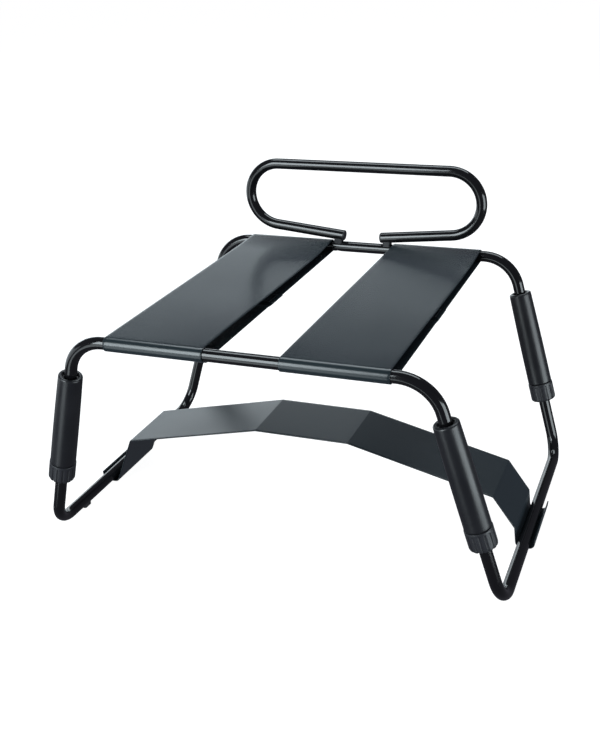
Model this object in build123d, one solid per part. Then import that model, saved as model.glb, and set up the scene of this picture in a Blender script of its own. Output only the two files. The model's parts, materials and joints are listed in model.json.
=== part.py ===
from build123d import *
import math
import os

# Low tubular stool with two stretched seat straps, a hand rail and a tie strap near the floor.
# Frame: origin on the floor under the middle of the stool, +X across it, +Y to the rear where
# the hand rail stands, +Z up. All lengths are in millimetres.

# ---------------------------------------------------------------- driving dimensions
# Tubes of the frame
tube_diameter = 16.0
tube_wall = 1.2
seat_bar_height = 305.5       # floor to the centre line of the two cross bars
seat_half_depth = 230.5       # middle to the centre line of a cross bar
leg_splay = 82.5              # distance that each leg runs outwards on its way to the floor
leg_tuck = 23.5               # distance that each leg runs towards the middle, front to rear
top_bend_radius = 54.0
floor_bend_radius = 38.0

# Grip joint on each leg, from the top down
grip_bend_gap = 12.0          # end of the leg's upper bend to the foam
foam_length = 140.0
foam_upper_diameter = 31.5
foam_lower_diameter = 34.0
coupler_wall = 2.25
coupler_recess = 4.0          # the foam's upper end stands this far past the coupler
upper_tube_reach = 61.0       # coupler's upper end to the upper tube's end on the shoulder
shoulder_height = 3.0
shoulder_step = 1.5           # the shoulder reaches this far in from the tube's outside
thread_length = 10.0          # threaded end of the coupler below the foam
collar_gap = 0.5
collar_length = 27.0
collar_diameter = 35.5
collar_rim_height = 3.5
collar_rib_count = 16
collar_flute_depth = 1.1
collar_flute_width = 2.6
collar_round = 3.5
collar_floor = 3.5            # thickness of the collar's lower end
collet_wall = 2.0
collet_tip_wall = 0.9
collet_taper_length = 5.0
collet_slit = 1.6
clamp_gap = 0.5               # between the coupler's end and the collet

# Hand rail over the rear cross bar
handle_rise = 124.5           # cross bar's centre line to the hand rail's top bar
handle_half_width = 182.5     # middle to the centre line of the end loops
handle_arm_slope = 5.8        # degrees that each lower arm rises towards the outside
handle_bolt_offset = 39.0     # middle to each fixing bolt
handle_arm_overhang = 8.0     # fixing bolt to the open end of the same arm
saddle_web = 2.5              # thinnest part of the saddle between the two tubes
saddle_width = 12.0
saddle_depth = 12.0
saddle_corner_radius = 2.0
saddle_top_wrap = 3.0
saddle_bottom_wrap = 3.0
bolt_diameter = 5.0
bolt_head_diameter = 9.0
bolt_head_height = 2.8
bolt_length = 14.0
bolt_socket_diameter = 3.4
bolt_socket_depth = 1.8
bolt_access_diameter = 10.4   # hole under the cross bar that the bolt's head goes in through
rivet_nut_diameter = 7.0
rivet_nut_length = 10.0
rivet_nut_flange_diameter = 8.6
rivet_nut_flange = 0.6
plug_cap_length = 3.0
plug_nut_gap = 1.0            # between a plug's stem and the rivet nut in the same arm

# Seat straps
strap_width = 134.0
strap_saddle_gap = 4.0        # saddle to the strap's inner edge
strap_bend_gap = 5.5          # strap's outer edge to the start of the cross bar's bend
strap_thickness = 1.2

# Tie strap between the floor rails
tie_width = 108.0
tie_offset_y = -6.0
tie_thickness = 1.6
tie_crown_half_width = 68.0
tie_crown_height = 120.0
tie_shoulder_left_inset = 40.0     # crease to the rail's centre line, across the stool
tie_shoulder_left_height = 74.0
tie_shoulder_right_inset = 43.5
tie_shoulder_right_height = 70.5
tie_knee_right_inset = 13.5
tie_knee_right_height = 29.0
tie_wrap_inner_gap = 3.0      # side of the rail to the strap's line, on the inner side
tie_wrap_outer_gap = 4.0      # the same on the outer side
tie_wrap_radius = 7.0         # bend of the strap under the rail
tie_flap_height = 15.0        # floor to the free end of the strap
tie_flap_lean = 1.5           # distance that the free end stands out past the wrap

# Feet under the rails
foot_bend_gap = 36.8          # start of the rail's bend to the middle of the foot
foot_sole = 3.0               # floor to the underside of the rail
foot_length = 16.0
foot_width = 11.0
foot_wrap = 3.4               # height that the foot rises up the sides of the rail
foot_stem_diameter = 5.0
foot_barb_diameter = 6.6
foot_barb_height = 1.8
foot_corner_radius = 3.0
foot_round = 1.2

# Clearances
slide_fit = 0.05              # tube in coupler and collet, thread on thread
collar_clearance = 0.3        # collar's lower end to the tube
strap_clearance = 0.3         # cloth to tube
bolt_clearance = 0.2
nut_clearance = 0.1

# ---------------------------------------------------------------- derived sizes
tube_radius = tube_diameter / 2
bore_radius = tube_radius - tube_wall
rail_height = foot_sole + tube_radius
leg_run = Vector(leg_splay, -leg_tuck, rail_height - seat_bar_height)
top_turn = math.radians(leg_run.get_angle(Vector(1, 0, 0)))
floor_turn = math.radians(leg_run.get_angle(Vector(0, -1, 0)))
top_bend_reach = top_bend_radius * math.tan(top_turn / 2)
floor_bend_reach = floor_bend_radius * math.tan(floor_turn / 2)
strap_inner_edge = handle_bolt_offset + saddle_width / 2 + strap_saddle_gap
strap_offset = strap_inner_edge + strap_width / 2
seat_half_width = strap_inner_edge + strap_width + strap_bend_gap + top_bend_reach
rail_half_width = seat_half_width + leg_splay
rail_half_depth = seat_half_depth - leg_tuck
foot_offset = rail_half_depth - floor_bend_reach - foot_bend_gap
grip_start = top_bend_reach + grip_bend_gap
coupler_radius = tube_radius + coupler_wall
collet_radius = tube_radius + collet_wall
collet_tip_radius = tube_radius + collet_tip_wall
collar_start = grip_start + foam_length + collar_gap
coupler_start = grip_start + coupler_recess
tube_joint = coupler_start + upper_tube_reach
coupler_end = grip_start + foam_length + thread_length
collet_start = coupler_end + clamp_gap
collar_end = collar_start + collar_length
collet_end = collar_end - collar_floor - slide_fit
handle_height = seat_bar_height + handle_rise
arm_bolt_height = seat_bar_height + tube_diameter + saddle_web
handle_arm_end = handle_bolt_offset - handle_arm_overhang
plug_stem_length = handle_arm_overhang - rivet_nut_diameter / 2 - plug_nut_gap

SIDES = {"left": -1, "right": 1}
ENDS = {"front": -1, "rear": 1}
ON_BASE = (Align.CENTER, Align.CENTER, Align.MIN)


# ---------------------------------------------------------------- helpers
def corner(end, side):
    """Where the centre lines of a cross bar and of its leg meet."""
    return Vector(side * seat_half_width, end * seat_half_depth, seat_bar_height)


def floor_corner(end, side):
    """Where the centre lines of a floor rail and of its leg meet."""
    return Vector(side * rail_half_width, end * rail_half_depth, rail_height)


def leg_plane(end, side):
    """Plane at the top of a leg, with its Z axis down the leg and X across the stool."""
    top = corner(end, side)
    down = (floor_corner(end, side) - top).normalized()
    return Plane(origin=top, x_dir=(side, 0, 0), z_dir=down)


def on_leg(end, side, distance):
    """Point on a leg's centre line, a distance down from the cross bar's line."""
    plane = leg_plane(end, side)
    return plane.origin + plane.z_dir * distance


def place_on_leg(solid, end, side):
    """Move a piece drawn along Z from the origin on to a leg."""
    return leg_plane(end, side).location * solid


def rod(radius, start, stop):
    """Solid cylinder along Z between two heights."""
    return Pos(0, 0, start) * Cylinder(radius, stop - start, align=ON_BASE)


def taper(start_radius, stop_radius, start, stop):
    """Solid cone along Z between two heights."""
    return Pos(0, 0, start) * Cone(start_radius, stop_radius, stop - start, align=ON_BASE)


def tube_along(path):
    """Round tube with the frame's diameter and wall, swept along a path."""
    start = Plane(origin=path @ 0, z_dir=path % 0)
    section = start * (Circle(tube_radius) - Circle(bore_radius))
    return sweep(section, path=path)


def save(solid, name):
    """Write one piece to its own STEP file."""
    solid.label = name
    export_step(solid, os.path.join("parts", name + ".step"))


# ---------------------------------------------------------------- frame tubes
def top_tube(end):
    """Cross bar with a bend and an upper leg at each side."""
    points = [
        on_leg(end, -1, tube_joint),
        corner(end, -1),
        corner(end, 1),
        on_leg(end, 1, tube_joint),
    ]
    tube = tube_along(FilletPolyline(*points, radius=top_bend_radius))
    if end == ENDS["rear"]:
        for side in SIDES.values():
            holes = rod(bolt_diameter / 2 + bolt_clearance, 0, tube_diameter)
            holes += rod(bolt_access_diameter / 2, -tube_diameter, 0)
            tube -= Pos(side * handle_bolt_offset, seat_half_depth, seat_bar_height) * holes
    return tube


def side_tube(side):
    """Floor rail with a bend and a lower leg at the front and at the rear."""
    joint = tube_joint + shoulder_height
    points = [
        on_leg(-1, side, joint),
        floor_corner(-1, side),
        floor_corner(1, side),
        on_leg(1, side, joint),
    ]
    tube = tube_along(FilletPolyline(*points, radius=floor_bend_radius))
    for end in ENDS.values():
        hole = rod(foot_stem_diameter / 2, 0, rail_height)
        tube -= Pos(side * rail_half_width, end * foot_offset, 0) * hole
    return tube


# ---------------------------------------------------------------- grip joint, drawn along Z
def coupler():
    """Sleeve that joins upper and lower leg, with a shoulder between the two tube ends."""
    sleeve = rod(coupler_radius, coupler_start, coupler_end)
    sleeve -= rod(tube_radius + slide_fit, coupler_start, tube_joint)
    sleeve -= rod(tube_radius - shoulder_step, tube_joint, tube_joint + shoulder_height)
    sleeve -= rod(tube_radius + slide_fit, tube_joint + shoulder_height, coupler_end)
    return sleeve


def foam_grip():
    """Foam sleeve over the coupler."""
    grip_end = grip_start + foam_length
    foam = taper(foam_upper_diameter / 2, foam_lower_diameter / 2, grip_start, grip_end)
    return foam - rod(coupler_radius, grip_start, grip_end)


def collet():
    """Split clamping ring round the lower tube, tapered at its lower end."""
    taper_start = collet_end - collet_taper_length
    ring = rod(collet_radius, collet_start, taper_start)
    ring += taper(collet_radius, collet_tip_radius, taper_start, collet_end)
    ring -= rod(tube_radius + slide_fit, collet_start, collet_end)
    length = collet_end - collet_start
    slit = Box(2 * collet_radius, collet_slit, length, align=(Align.MIN, Align.CENTER, Align.MIN))
    return ring - Pos(0, 0, collet_start) * slit


def twist_collar():
    """Fluted collar: threaded bore, tapered chamber for the collet, and a lower end."""
    body = rod(collar_diameter / 2, collar_start, collar_end)
    body = fillet(body.edges().group_by(Axis.Z)[-1], collar_round)
    thread_end = collet_start + slide_fit
    chamber_end = collet_end - collet_taper_length
    chamber_radius = collet_radius + slide_fit
    cone_end = collet_end + slide_fit
    inside = rod(coupler_radius + slide_fit, collar_start, thread_end)
    inside += rod(chamber_radius, thread_end, chamber_end)
    inside += taper(chamber_radius, collet_tip_radius + slide_fit, chamber_end, cone_end)
    inside += rod(tube_radius + collar_clearance, cone_end, collar_end)
    body -= inside
    flute_length = collar_length - collar_rim_height
    flute = Box(2 * collar_flute_depth, collar_flute_width, flute_length, align=ON_BASE)
    flute = Pos(collar_diameter / 2, 0, collar_start + collar_rim_height) * flute
    step = 360 / collar_rib_count
    for index in range(collar_rib_count):
        body -= Rot(0, 0, index * step) * flute
    return body


# ---------------------------------------------------------------- hand rail
def arm_height(x):
    """Height of a lower arm's centre line at a distance from the middle."""
    slope = math.tan(math.radians(handle_arm_slope))
    return arm_bolt_height + (x - handle_bolt_offset) * slope


def handle_path():
    """Open loop: lower arm, end loop, top bar, end loop, lower arm."""
    cosine = math.cos(math.radians(handle_arm_slope))
    sine = math.sin(math.radians(handle_arm_slope))
    reach = handle_half_width - handle_bolt_offset
    radius = ((handle_height - arm_bolt_height) * cosine - reach * sine) / (1 + cosine - sine)
    centre_x = handle_half_width - radius
    centre_z = handle_height - radius

    def point(side, x, z):
        return Vector(side * x, seat_half_depth, z)

    lines = []
    for side in (-1, 1):
        arm_end = point(side, handle_arm_end, arm_height(handle_arm_end))
        arm_corner = point(side, centre_x + radius * sine, centre_z - radius * cosine)
        outermost = point(side, handle_half_width, centre_z)
        top_corner = point(side, centre_x, handle_height)
        lines.append((arm_end, arm_corner, outermost, top_corner))
    left, right = lines
    return Wire([
        Edge.make_line(left[0], left[1]),
        Edge.make_three_point_arc(left[1], left[2], left[3]),
        Edge.make_line(left[3], right[3]),
        Edge.make_three_point_arc(right[3], right[2], right[1]),
        Edge.make_line(right[1], right[0]),
    ])


def handle_tube():
    """Hand rail tube with a hole under each arm for the rivet nut."""
    tube = tube_along(handle_path())
    for side in SIDES.values():
        hole = rod(rivet_nut_diameter / 2 + nut_clearance, 0, tube_diameter)
        tube -= Pos(side * handle_bolt_offset, seat_half_depth, arm_bolt_height - tube_diameter) * hole
    return tube


def arm_plane(side):
    """Plane at the open end of a lower arm, with its Z axis into the tube."""
    slope = math.radians(handle_arm_slope)
    end = (side * handle_arm_end, seat_half_depth, arm_height(handle_arm_end))
    return Plane(origin=end, x_dir=(0, 1, 0), z_dir=(side * math.cos(slope), 0, math.sin(slope)))


def handle_plug(side):
    """Push-in end plug with a rounded cap."""
    cap = rod(tube_radius, -plug_cap_length, 0)
    cap = fillet(cap.edges().group_by(Axis.Z)[0], plug_cap_length * 0.8)
    cap += rod(bore_radius, 0, plug_stem_length)
    return arm_plane(side).location * cap


def handle_saddle(side):
    """Spacer that seats on the cross bar and cradles a lower arm."""
    bottom = seat_bar_height + tube_radius - saddle_bottom_wrap
    top = arm_bolt_height - tube_radius + saddle_top_wrap
    block = Box(saddle_width, saddle_depth, top - bottom, align=ON_BASE)
    block = Pos(0, 0, bottom) * fillet(block.edges().filter_by(Axis.Z), saddle_corner_radius)
    seat = Cylinder(tube_radius, 2 * saddle_width)
    bar = Pos(0, 0, seat_bar_height) * Rot(0, 90, 0) * seat
    arm = Pos(0, 0, arm_bolt_height) * Rot(0, 90 - side * handle_arm_slope, 0) * seat
    hole = rod(bolt_diameter / 2 + bolt_clearance, bottom, top)
    recess_start = nut_flange_base() - nut_clearance
    recess = rod(rivet_nut_flange_diameter / 2 + nut_clearance, recess_start, top)
    block = block - bar - arm - hole - recess
    return Pos(side * handle_bolt_offset, seat_half_depth, 0) * block


def nut_flange_base():
    """Height of the underside of the rivet nut's flange."""
    slope = math.tan(math.radians(handle_arm_slope))
    underside = arm_bolt_height - tube_radius - slope * rivet_nut_flange_diameter / 2
    return underside - rivet_nut_flange - nut_clearance


def handle_rivet_nut(side):
    """Rivet nut under a lower arm, its flange in the saddle's recess."""
    base = nut_flange_base()
    nut = rod(rivet_nut_flange_diameter / 2, base, base + rivet_nut_flange)
    nut += rod(rivet_nut_diameter / 2, base, base + rivet_nut_length)
    nut -= rod(bolt_diameter / 2, base, base + rivet_nut_length)
    return Pos(side * handle_bolt_offset, seat_half_depth, 0) * nut


def handle_bolt(side):
    """Button-head bolt from inside the cross bar up through the saddle into the rivet nut."""
    head_radius = bolt_head_diameter / 2
    seat = seat_bar_height + math.sqrt(bore_radius ** 2 - head_radius ** 2) - nut_clearance
    head_start = seat - bolt_head_height
    head = rod(head_radius, head_start, seat)
    head = fillet(head.edges().group_by(Axis.Z)[0], bolt_head_height * 0.7)
    head -= rod(bolt_socket_diameter / 2, head_start, head_start + bolt_socket_depth)
    bolt = head + rod(bolt_diameter / 2, seat, seat + bolt_length)
    return Pos(side * handle_bolt_offset, seat_half_depth, 0) * bolt


# ---------------------------------------------------------------- straps
def seat_strap(side):
    """Closed loop of elastic webbing stretched round both cross bars."""
    inner_radius = tube_radius + strap_clearance
    outer = SlotCenterToCenter(2 * seat_half_depth, 2 * (inner_radius + strap_thickness))
    inner = SlotCenterToCenter(2 * seat_half_depth, 2 * inner_radius)
    middle = Plane(origin=(side * strap_offset, 0, seat_bar_height), x_dir=(0, 1, 0), z_dir=(1, 0, 0))
    return extrude(middle * (outer - inner), strap_width / 2, both=True)


def tie_wrap(side, crease):
    """Line of the strap from its last crease, round the underside of a rail, to its free end."""
    under = rail_height - tube_radius - strap_clearance - tie_thickness / 2
    inner_x = rail_half_width - tube_radius - tie_wrap_inner_gap
    outer_x = rail_half_width + tube_radius + tie_wrap_outer_gap
    points = [
        crease,
        Vector(side * inner_x, under),
        Vector(side * outer_x, under),
        Vector(side * (outer_x + tie_flap_lean), tie_flap_height),
    ]
    return FilletPolyline(*points, radius=tie_wrap_radius)


def tie_path():
    """Centre line of the tie strap from its left end to its right end, drawn in the XY plane."""
    left_shoulder = Vector(tie_shoulder_left_inset - rail_half_width, tie_shoulder_left_height)
    right_shoulder = Vector(rail_half_width - tie_shoulder_right_inset, tie_shoulder_right_height)
    right_knee = Vector(rail_half_width - tie_knee_right_inset, tie_knee_right_height)
    creases = [
        left_shoulder,
        Vector(-tie_crown_half_width, tie_crown_height),
        Vector(tie_crown_half_width, tie_crown_height),
        right_shoulder,
        right_knee,
    ]
    facets = [Edge.make_line(first, second) for first, second in zip(creases, creases[1:])]
    left_wrap = tie_wrap(-1, left_shoulder).edges()
    right_wrap = tie_wrap(1, right_knee).edges()
    return Wire([*left_wrap, *facets, *right_wrap])


def tie_strap():
    """Flat folded strap whose ends wrap under the floor rails."""
    outline = tie_path().offset_2d(tie_thickness / 2, kind=Kind.INTERSECTION, side=Side.BOTH)
    band = extrude(Face(outline), tie_width / 2, both=True)
    return Pos(0, tie_offset_y, 0) * Rot(90, 0, 0) * band


# ---------------------------------------------------------------- feet
def foot_pad(end, side):
    """Moulded foot that hugs the underside of a rail and plugs into it with a barbed stem."""
    top = rail_height - tube_radius + foot_wrap
    pad = Box(foot_width, foot_length, top, align=ON_BASE)
    pad = fillet(pad.edges().filter_by(Axis.Z), foot_corner_radius)
    pad = fillet(pad.edges().group_by(Axis.Z)[0], foot_round)
    pad -= Pos(0, 0, rail_height) * Rot(90, 0, 0) * Cylinder(tube_radius, 2 * foot_length)
    stem_start = rail_height - tube_radius - slide_fit
    barb_radius = foot_barb_diameter / 2
    barb_start = rail_height - math.sqrt(bore_radius ** 2 - barb_radius ** 2) + nut_clearance
    pad += rod(foot_stem_diameter / 2, stem_start, barb_start)
    pad += rod(barb_radius, barb_start, barb_start + foot_barb_height)
    return Pos(side * rail_half_width, end * foot_offset, 0) * pad


# ---------------------------------------------------------------- write every piece
os.makedirs("parts", exist_ok=True)

grip_pieces = {
    "coupler": coupler(),
    "foam_grip": foam_grip(),
    "collet": collet(),
    "twist_collar": twist_collar(),
}

for end_name, end in ENDS.items():
    save(top_tube(end), end_name + "_top_tube")
    for side_name, side in SIDES.items():
        for piece_name, piece in grip_pieces.items():
            save(place_on_leg(piece, end, side), piece_name + "_" + end_name + "_" + side_name)
        save(foot_pad(end, side), "foot_pad_" + end_name + "_" + side_name)

for side_name, side in SIDES.items():
    save(side_tube(side), side_name + "_side_tube")
    save(handle_plug(side), "handle_plug_" + side_name)
    save(handle_saddle(side), "handle_saddle_" + side_name)
    save(seat_strap(side), "seat_strap_" + side_name)

save(handle_tube(), "handle_tube")
save(Compound([handle_bolt(side) for side in SIDES.values()]), "handle_bolts")
save(Compound([handle_rivet_nut(side) for side in SIDES.values()]), "handle_rivet_nuts")
save(tie_strap(), "tie_strap")
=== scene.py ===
import json
import math

import bpy
import numpy as np
from mathutils import Matrix, Vector


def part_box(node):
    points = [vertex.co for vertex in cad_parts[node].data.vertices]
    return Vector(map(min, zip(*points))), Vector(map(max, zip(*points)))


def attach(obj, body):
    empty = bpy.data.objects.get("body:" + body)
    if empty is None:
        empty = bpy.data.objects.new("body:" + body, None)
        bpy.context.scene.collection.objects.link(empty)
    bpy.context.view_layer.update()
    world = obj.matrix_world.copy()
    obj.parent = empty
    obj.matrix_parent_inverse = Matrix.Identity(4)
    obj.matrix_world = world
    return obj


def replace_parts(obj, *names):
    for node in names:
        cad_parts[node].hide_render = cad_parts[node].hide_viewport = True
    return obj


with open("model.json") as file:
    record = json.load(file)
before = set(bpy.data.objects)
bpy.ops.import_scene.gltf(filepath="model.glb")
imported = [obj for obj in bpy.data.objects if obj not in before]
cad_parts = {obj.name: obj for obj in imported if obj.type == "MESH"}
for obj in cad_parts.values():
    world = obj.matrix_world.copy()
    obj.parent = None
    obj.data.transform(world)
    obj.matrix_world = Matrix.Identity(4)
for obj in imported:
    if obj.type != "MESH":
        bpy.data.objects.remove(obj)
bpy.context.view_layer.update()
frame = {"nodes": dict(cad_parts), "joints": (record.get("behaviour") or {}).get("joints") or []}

# Low tubular stool with two stretched seat straps, a hand rail and a tie strap near the floor.
# All lengths are in metres, in the frame's own axes: +X across, +Y to the rear, +Z up.

# ---------------------------------------------------------------- sizes
TUBE_RADIUS = 0.008
TUBE_WALL = 0.0012
TUBE_OVERRUN = 0.002
TOP_BEND_RADIUS = 0.054
FLOOR_BEND_RADIUS = 0.038
FOOT_STEM_RADIUS = 0.0025
BOLT_SHANK_RADIUS = 0.0027
BOLT_ACCESS_RADIUS = 0.0052
RIVET_NUT_RADIUS = 0.0036
ARM_SLOPE = math.radians(5.8)       # rise of the hand rail's lower arms towards the outside
ARM_OVERHANG = 0.008                # fixing bolt to the open end of an arm
SADDLE_WEB = 0.0025                 # thinnest part of the saddle between bar and arm

SLIDE_FIT = 0.00005
COUPLER_SHOULDER = 0.061            # coupler's upper end to its inner shoulder
SHOULDER_HEIGHT = 0.003
SHOULDER_STEP = 0.0015
THREAD_PITCH = 0.003
COLLET_WALL = 0.002
COLLET_TIP_WALL = 0.0009
COLLET_TAPER = 0.005
COLLAR_CLEARANCE = 0.0003
EDGE_BREAK = 0.0005                 # chamfer on outer edges and at the mouth of the collar's thread
BORE_BREAK = 0.0006                 # chamfer in bore mouths, and the height of the coupler's lower one

STRAP_CLEARANCE = 0.0003
STRAP_THICKNESS = 0.0012
STRAP_SEAM = 0.040
STRAP_SEAM_STEP = 0.016
STRAP_LAP_GAP = 0.00005             # between the two layers of the seam
STRAP_DIP = (0.0012, 0.0046)
STRAP_DIP_PLACE = (0.13, 0.20)

TIE_THICKNESS = 0.0016
TIE_CROWN_HALF_WIDTH = 0.068
TIE_CROWN_HEIGHT = 0.120
TIE_SHOULDER_LEFT = (0.040, 0.074)
TIE_SHOULDER_RIGHT = (0.0435, 0.0705)
TIE_KNEE_RIGHT = (0.0135, 0.029)
TIE_WRAP_INNER = 0.011
TIE_WRAP_OUTER = 0.012
TIE_WRAP_RADIUS = 0.007
TIE_FLAP_HEIGHT = 0.015
TIE_FLAP_LEAN = 0.0015
TIE_CREASE_RADIUS = 0.0018

SIDES = {"left": -1, "right": 1}
ENDS = {"front": -1, "rear": 1}

nodes = frame["nodes"]
joints = {joint["name"]: joint for joint in frame["joints"]}

rail_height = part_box("left_side_tube")[0].z + TUBE_RADIUS
rail_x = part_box("right_side_tube")[1].x - TUBE_RADIUS
bar_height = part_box("front_top_tube")[1].z - TUBE_RADIUS
bar_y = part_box("rear_top_tube")[1].y - TUBE_RADIUS
handle_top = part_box("handle_tube")[1].z - TUBE_RADIUS
handle_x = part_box("handle_tube")[1].x - TUBE_RADIUS
bolt_x = (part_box("handle_saddle_right")[0].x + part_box("handle_saddle_right")[1].x) / 2
foot_y = (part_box("foot_pad_rear_left")[0].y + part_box("foot_pad_rear_left")[1].y) / 2


# ---------------------------------------------------------------- camera and studio
def set_camera():
    """Three-quarter view from the front right, looking down at the seat."""
    yaw, pitch, roll = math.radians(21.945), math.radians(23.245), math.radians(-2.442)
    forward = Vector((-math.sin(yaw) * math.cos(pitch), math.cos(yaw) * math.cos(pitch), -math.sin(pitch)))
    right = Vector((math.cos(yaw), math.sin(yaw), 0))
    up = right.cross(forward)
    across = right * math.cos(roll) + up * math.sin(roll)
    upright = up * math.cos(roll) - right * math.sin(roll)
    camera = bpy.data.objects.new("camera", bpy.data.cameras.new("camera"))
    camera.data.sensor_width = 36
    camera.data.lens = 52.146
    camera.data.clip_end = 100
    spot = (0.4974, -1.2845, 0.7877)
    turned = Matrix((across, upright, -forward)).transposed().to_4x4()
    camera.matrix_world = Matrix.Translation(spot) @ turned
    bpy.context.scene.collection.objects.link(camera)
    bpy.context.scene.camera = camera


def softbox(name, azimuth, elevation, distance, width, height, radiance):
    """Rectangular light aimed at the middle of the stool; azimuth 0 is in front, 90 to the right."""
    aim = Vector((0, 0, 0.2))
    turn, rise = math.radians(azimuth), math.radians(elevation)
    out = Vector((math.sin(turn) * math.cos(rise), -math.cos(turn) * math.cos(rise), math.sin(rise)))
    light = bpy.data.lights.new(name, "AREA")
    light.shape = "RECTANGLE"
    light.size, light.size_y = width, height
    light.energy = radiance * math.pi * width * height
    light.color = (0.86, 0.96, 1.0)
    lamp = bpy.data.objects.new(name, light)
    lamp.location = aim + out * distance
    lamp.rotation_mode = "QUATERNION"
    lamp.rotation_quaternion = out.to_track_quat("Z", "Y")
    lamp.visible_camera = False
    bpy.context.scene.collection.objects.link(lamp)


def build_studio():
    """Pale floor, white surround and softboxes, some of them below the floor, which doesn't block them."""
    softbox("overhead_strip", 190, 70, 2.6, 2.8, 1.1, 5.0)
    softbox("front_left_box", -26, 19, 3.2, 1.4, 2.0, 10.0)
    softbox("front_low_box", -26, -20, 3.2, 1.6, 1.8, 2.2)
    softbox("left_box", -92, -4, 3.0, 5.0, 1.2, 1.3)
    softbox("right_box", 78, -3, 3.0, 2.2, 1.5, 6.0)
    softbox("rear_left_box", 213, 8, 3.2, 3.8, 1.0, 2.2)
    softbox("rear_low_box", 208, -14, 3.2, 2.2, 0.9, 1.0)

    world = bpy.data.worlds.new("studio")
    bpy.context.scene.world = world
    world.use_nodes = True
    tree = world.node_tree
    tree.nodes.clear()
    output = tree.nodes.new("ShaderNodeOutputWorld")
    mix = tree.nodes.new("ShaderNodeMixShader")
    seen = tree.nodes.new("ShaderNodeBackground")
    seen.inputs["Color"].default_value = (1, 1, 1, 1)
    lit = tree.nodes.new("ShaderNodeBackground")
    lit.inputs["Color"].default_value = (0.84, 0.84, 1.0, 1)
    lit.inputs["Strength"].default_value = 0.11
    ray = tree.nodes.new("ShaderNodeLightPath")
    tree.links.new(ray.outputs["Is Camera Ray"], mix.inputs[0])
    tree.links.new(lit.outputs[0], mix.inputs[1])
    tree.links.new(seen.outputs[0], mix.inputs[2])
    tree.links.new(mix.outputs[0], output.inputs["Surface"])

    bpy.ops.mesh.primitive_circle_add(vertices=96, radius=14, fill_type="NGON", location=(0, 0, -0.0004))
    floor = bpy.context.object
    floor.name = "floor"
    floor.data.materials.append(floor_finish())
    floor.visible_shadow = floor.visible_glossy = floor.visible_diffuse = False
    bpy.context.scene.view_settings.view_transform = "Standard"


def floor_finish():
    """Pale paper floor that glows to the camera, so that it stays white, and is clear from below."""
    material = bpy.data.materials.new("pale_floor")
    material.use_nodes = True
    tree = material.node_tree
    tree.nodes.clear()
    output = tree.nodes.new("ShaderNodeOutputMaterial")
    paper = tree.nodes.new("ShaderNodeBsdfDiffuse")
    paper.inputs["Color"].default_value = (0.30, 0.30, 0.30, 1)
    glow = tree.nodes.new("ShaderNodeEmission")
    ray = tree.nodes.new("ShaderNodeLightPath")
    strength = tree.nodes.new("ShaderNodeMath")
    strength.operation = "MULTIPLY"
    strength.inputs[1].default_value = 0.97
    tree.links.new(ray.outputs["Is Camera Ray"], strength.inputs[0])
    tree.links.new(strength.outputs[0], glow.inputs["Strength"])
    both = tree.nodes.new("ShaderNodeAddShader")
    tree.links.new(paper.outputs[0], both.inputs[0])
    tree.links.new(glow.outputs[0], both.inputs[1])
    clear = tree.nodes.new("ShaderNodeBsdfTransparent")
    side = tree.nodes.new("ShaderNodeNewGeometry")
    mix = tree.nodes.new("ShaderNodeMixShader")
    tree.links.new(side.outputs["Backfacing"], mix.inputs[0])
    tree.links.new(both.outputs[0], mix.inputs[1])
    tree.links.new(clear.outputs[0], mix.inputs[2])
    tree.links.new(mix.outputs[0], output.inputs["Surface"])
    return material


# ---------------------------------------------------------------- finishes
class Finish:
    """A node material with a Principled shader and short calls for the nodes that feed it."""

    def __init__(self, name, **sockets):
        self.material = bpy.data.materials.new(name)
        self.material.use_nodes = True
        self.tree = self.material.node_tree
        self.shader = self.tree.nodes["Principled BSDF"]
        for socket, value in sockets.items():
            self.shader.inputs[socket.replace("_", " ")].default_value = value

    def node(self, kind, **values):
        made = self.tree.nodes.new(kind)
        for key, value in values.items():
            setattr(made, key, value)
        return made

    def link(self, source, target):
        self.tree.links.new(source, target)

    def feed(self, node, index, value):
        """Link a socket or set a number on a node's input."""
        if isinstance(value, bpy.types.NodeSocket):
            self.link(value, node.inputs[index])
        else:
            node.inputs[index].default_value = value

    def math(self, operation, first, second=0.0, third=None):
        made = self.node("ShaderNodeMath", operation=operation)
        self.feed(made, 0, first)
        self.feed(made, 1, second)
        if third is not None:
            self.feed(made, 2, third)
        return made.outputs[0]

    def place(self, source="Object"):
        """Object coordinates, or the piece's own UV map when source is UV."""
        return self.node("ShaderNodeTexCoord").outputs[source]

    def noise(self, where, scale, detail=2.0, roughness=0.5):
        made = self.node("ShaderNodeTexNoise")
        self.link(where, made.inputs["Vector"])
        made.inputs["Scale"].default_value = scale
        made.inputs["Detail"].default_value = detail
        made.inputs["Roughness"].default_value = roughness
        return made.outputs["Fac"]

    def cells(self, where, scale):
        made = self.node("ShaderNodeTexVoronoi")
        self.link(where, made.inputs["Vector"])
        made.inputs["Scale"].default_value = scale
        return made.outputs["Distance"]

    def spread(self, value, low, high, to_low, to_high):
        made = self.node("ShaderNodeMapRange")
        self.link(value, made.inputs["Value"])
        made.inputs["From Min"].default_value = low
        made.inputs["From Max"].default_value = high
        made.inputs["To Min"].default_value = to_low
        made.inputs["To Max"].default_value = to_high
        return made.outputs["Result"]

    def tones(self, value, dark, light):
        made = self.node("ShaderNodeMix", data_type="RGBA")
        self.link(value, made.inputs["Factor"])
        made.inputs[6].default_value = (*dark, 1)
        made.inputs[7].default_value = (*light, 1)
        return made.outputs[2]

    def colour(self, socket):
        self.link(socket, self.shader.inputs["Base Color"])
        return self

    def rough(self, socket):
        self.link(socket, self.shader.inputs["Roughness"])
        return self

    def bump(self, height, distance, strength=1.0):
        made = self.node("ShaderNodeBump")
        made.inputs["Distance"].default_value = distance
        made.inputs["Strength"].default_value = strength
        self.link(height, made.inputs["Height"])
        self.link(made.outputs["Normal"], self.shader.inputs["Normal"])
        return self


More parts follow.
